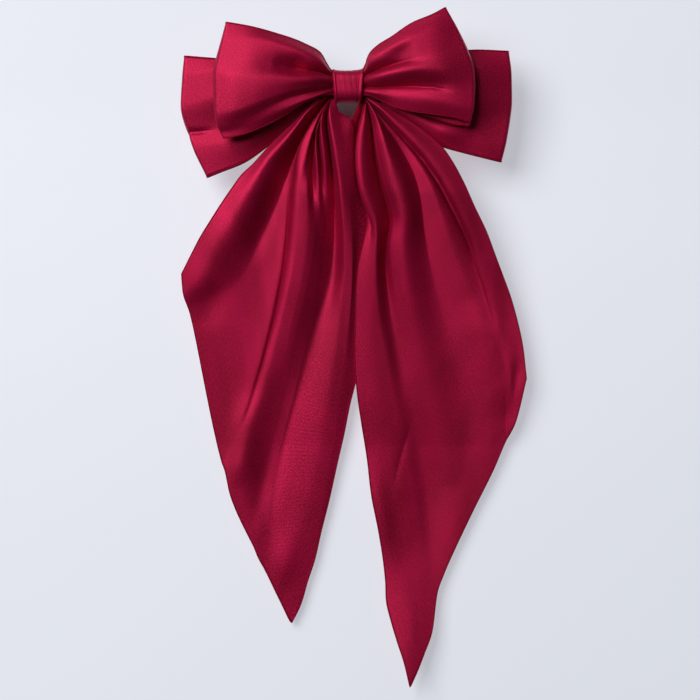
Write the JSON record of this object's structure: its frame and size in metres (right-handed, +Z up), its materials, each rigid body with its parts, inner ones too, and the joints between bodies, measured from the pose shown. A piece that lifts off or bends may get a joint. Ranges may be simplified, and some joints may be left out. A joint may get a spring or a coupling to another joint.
{
  "type": "hair bow barrette",
  "caption": "Long-tail satin hair bow: a small loop bow over a wider one, hanging slant-cut tails and a knot wrap, on a hinged French barrette with tension bar and squeeze catch.",
  "frame": {"origin": "middle of the hair gap, halfway along the clip between the tension bar and the clasp arm", "axes": "+Z up as worn, along the hanging tails towards the loops; +X to the right as seen from the front; +Y from the bow through the clip towards the head"},
  "size_m": [0.1648, 0.0392, 0.3207],
  "materials": {
    "satin": "satin",
    "thread": "matte",
    "plated_steel": "satin",
    "spring_steel": "satin"
  },
  "bodies": {
    "root": {"front_bow": "satin", "rear_bow": "satin", "tail_gather": "satin", "knot_wrap": "satin", "front_bow_thread": "thread", "tail_thread": "thread", "rear_bow_thread": "thread", "knot_stitches": "thread", "anchor_stitches": "thread", "base_plate": "plated_steel", "hinge_pin": "plated_steel", "catch_bracket": "plated_steel", "catch_rivets": "plated_steel"},
    "clasp_arm": {"clasp_arm": "plated_steel"},
    "tension_bar": {"tension_bar": "spring_steel"},
    "catch_ear_upper": {"catch_ear_upper": "spring_steel"},
    "catch_ear_lower": {"catch_ear_lower": "spring_steel"},
    "tail_left": {"tail_left": "satin"},
    "tail_right": {"tail_right": "satin"}
  },
  "joints": [
    {"name": "clasp_hinge", "type": "hinge", "parent": "root", "child": "clasp_arm", "pos_m": [-0.037, 0.00475, 0], "axis": [0, 0, 1], "range_deg": [0, 75]},
    {"name": "tension_bar_press", "type": "slide", "parent": "root", "child": "tension_bar", "axis": [0, -1, 0], "range_m": [0, 0.0015], "stiffness_N_per_m": 1200, "deforming": ["tension_bar"]},
    {"name": "catch_ear_upper_squeeze", "type": "hinge", "parent": "root", "child": "catch_ear_upper", "pos_m": [0.0385, -0.0027, 0.0026], "axis": [-1, 0, 0], "range_deg": [0, 8], "stiffness_Nm_per_rad": 0.005},
    {"name": "catch_ear_lower_squeeze", "type": "hinge", "parent": "root", "child": "catch_ear_lower", "pos_m": [0.0385, -0.0027, -0.0026], "axis": [1, 0, 0], "range_deg": [0, 8], "stiffness_Nm_per_rad": 0.005},
    {"name": "tail_left_swing", "type": "hinge", "parent": "root", "child": "tail_left", "pos_m": [-0.013, -0.0155, -0.0103], "axis": [-1, 0, 0], "range_deg": [0, 35]},
    {"name": "tail_right_swing", "type": "hinge", "parent": "root", "child": "tail_right", "pos_m": [0.013, -0.0155, -0.0103], "axis": [-1, 0, 0], "range_deg": [0, 35]}
  ],
  "couplings": [
    {"joint": "catch_ear_lower_squeeze", "follows": "catch_ear_upper_squeeze", "ratio": 1}
  ]
}
